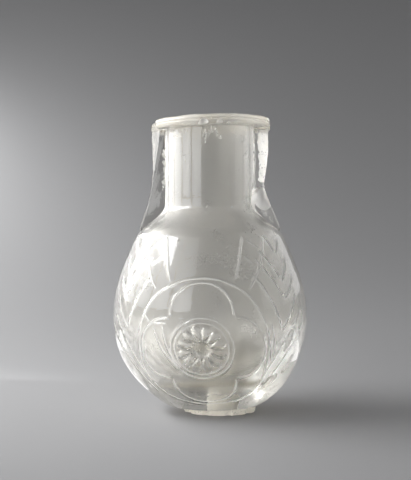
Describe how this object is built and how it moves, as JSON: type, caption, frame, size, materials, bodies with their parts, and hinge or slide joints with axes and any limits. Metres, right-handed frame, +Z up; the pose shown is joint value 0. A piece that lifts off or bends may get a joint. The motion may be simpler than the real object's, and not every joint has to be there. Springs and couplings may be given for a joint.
{
  "type": "rock crystal flask",
  "caption": "Small pear-shaped rock crystal flask with a wide neck, ring rim, broken handle stumps, carved medallion and chevrons, and a low chipped foot.",
  "frame": {"origin": "under the middle of the body, level with the foot's underside", "axes": "+Z up along the body's axis, the carved medallion faces -Y, the handle stumps stand at -X and +X"},
  "size_m": [0.06, 0.06, 0.0905],
  "materials": {
    "rock_crystal": "polished, worn, with wheel-cut lines"
  },
  "bodies": {
    "root": {"flask": "rock_crystal"}
  },
  "joints": []
}
